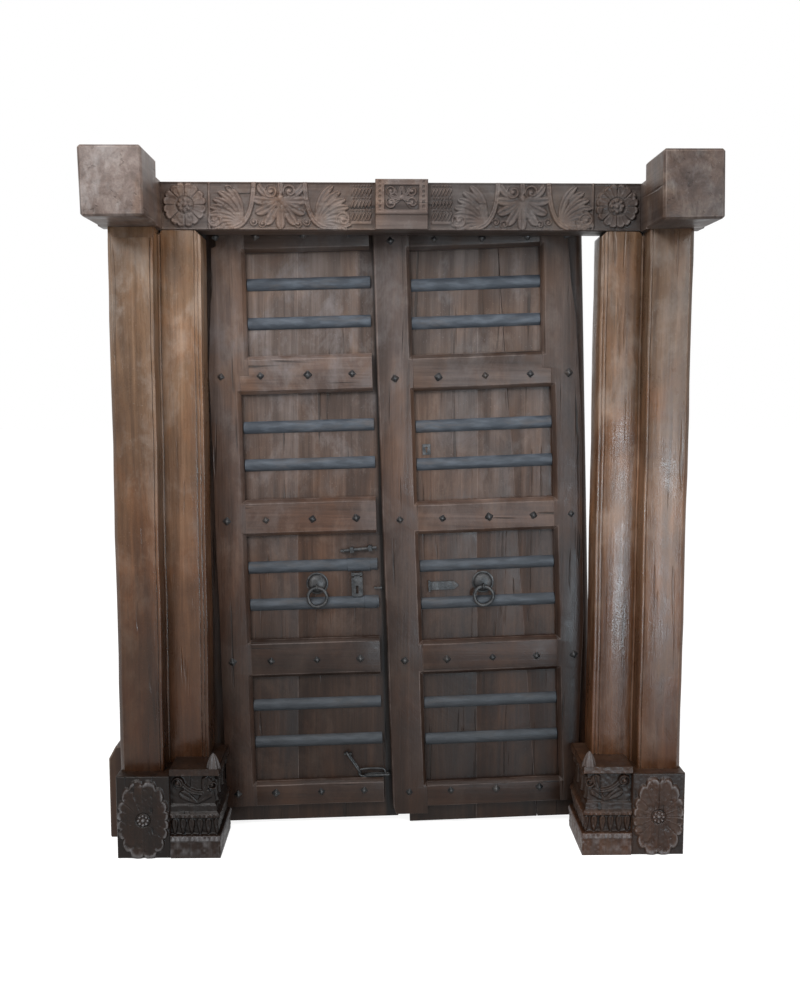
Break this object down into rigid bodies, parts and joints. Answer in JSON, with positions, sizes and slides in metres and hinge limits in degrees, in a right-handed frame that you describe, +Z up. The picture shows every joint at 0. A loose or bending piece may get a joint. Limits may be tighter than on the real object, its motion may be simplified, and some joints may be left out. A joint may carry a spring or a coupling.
{
  "type": "carved double-leaf timber door with frame",
  "caption": "Old double-leaf timber temple door in its carved frame: post-and-lintel surround with plinths and head blocks, panelled leaves on pins, iron straps, ring pulls, bolt and chain.",
  "frame": {"origin": "floor level, in the middle of the overall width and depth", "axes": "+X to the right seen from the front, +Y back through the doorway, +Z up"},
  "size_m": [1.842, 0.512, 2.12],
  "materials": {
    "frame_timber": "weathered, worn and dry",
    "carved_timber": "weathered, carved, worn edges",
    "leaf_timber": "weathered grey-brown",
    "plank_timber": "weathered grey-brown, unplaned",
    "iron": "forged iron, blue-grey and dull"
  },
  "bodies": {
    "frame": {"head_beam": "frame_timber", "head_beam_pegs": "frame_timber", "left_ground_block": "frame_timber", "left_head_block": "frame_timber", "left_inner_plinth": "carved_timber", "left_inner_post": "frame_timber", "left_outer_plinth": "carved_timber", "left_outer_post": "frame_timber", "lintel": "carved_timber", "right_ground_block": "frame_timber", "right_head_block": "frame_timber", "right_inner_plinth": "carved_timber", "right_inner_post": "frame_timber", "right_outer_plinth": "carved_timber", "right_outer_post": "frame_timber"},
    "left_leaf": {"left_bolt_keepers": "iron", "left_chain": "iron", "left_hasp_hinge": "iron", "left_hinge_stile": "leaf_timber", "left_ledger_1": "leaf_timber", "left_ledger_2": "leaf_timber", "left_ledger_3": "leaf_timber", "left_lower_straps": "iron", "left_nails": "iron", "left_pivot_stile": "leaf_timber", "left_plank_1": "plank_timber", "left_plank_2": "plank_timber", "left_rail_1": "leaf_timber", "left_rail_2": "leaf_timber", "left_rail_3": "leaf_timber", "left_rail_4": "leaf_timber", "left_rail_5": "leaf_timber", "left_ring_boss": "iron", "left_staples": "iron", "left_strap_collars": "iron", "left_upper_straps": "iron"},
    "right_leaf": {"right_hinge_stile": "leaf_timber", "right_keyhole_plate": "iron", "right_latch_plate": "iron", "right_ledger_1": "leaf_timber", "right_ledger_2": "leaf_timber", "right_ledger_3": "leaf_timber", "right_lower_straps": "iron", "right_meeting_stile": "leaf_timber", "right_nails": "iron", "right_pivot_stile": "leaf_timber", "right_plank_1": "plank_timber", "right_plank_2": "plank_timber", "right_plank_3": "plank_timber", "right_rail_1": "leaf_timber", "right_rail_2": "leaf_timber", "right_rail_3": "leaf_timber", "right_rail_4": "leaf_timber", "right_rail_5": "leaf_timber", "right_ring_boss": "iron", "right_upper_straps": "iron"},
    "left_ring_pull": {"left_ring": "iron"},
    "right_ring_pull": {"right_ring": "iron"},
    "left_bolt_bar": {"left_bolt": "iron"},
    "left_hasp_plate": {"left_hasp": "iron"}
  },
  "joints": [
    {"name": "left_leaf_hinge", "type": "hinge", "parent": "frame", "child": "left_leaf", "pos_m": [-0.578, 0.203, 0], "axis": [-0.0253, 0, 0.9997], "range_deg": [0, 100]},
    {"name": "right_leaf_hinge", "type": "hinge", "parent": "frame", "child": "right_leaf", "pos_m": [0.637, 0.203, 0], "axis": [-0.0349, 0, 0.9994], "range_deg": [-80, 0]},
    {"name": "left_ring_swing", "type": "hinge", "parent": "left_leaf", "child": "left_ring_pull", "pos_m": [-0.25216, 0.151, 0.801], "axis": [-0.9997, 0, -0.0253], "range_deg": [0, 110]},
    {"name": "right_ring_swing", "type": "hinge", "parent": "right_leaf", "child": "right_ring_pull", "pos_m": [0.2897, 0.151, 0.80487], "axis": [-0.9994, 0, -0.0349], "range_deg": [0, 110]},
    {"name": "left_bolt_slide", "type": "slide", "parent": "left_leaf", "child": "left_bolt_bar", "axis": [0.9955, 0, 0.095], "range_m": [-0.035, 0]},
    {"name": "left_hasp_swing", "type": "hinge", "parent": "left_leaf", "child": "left_hasp_plate", "pos_m": [-0.12321, 0.166, 0.84378], "axis": [-0.9997, 0, -0.0253], "range_deg": [0, 120]}
  ],
  "couplings": [
    {"joint": "right_leaf_hinge", "follows": "left_leaf_hinge", "ratio": -0.8}
  ]
}
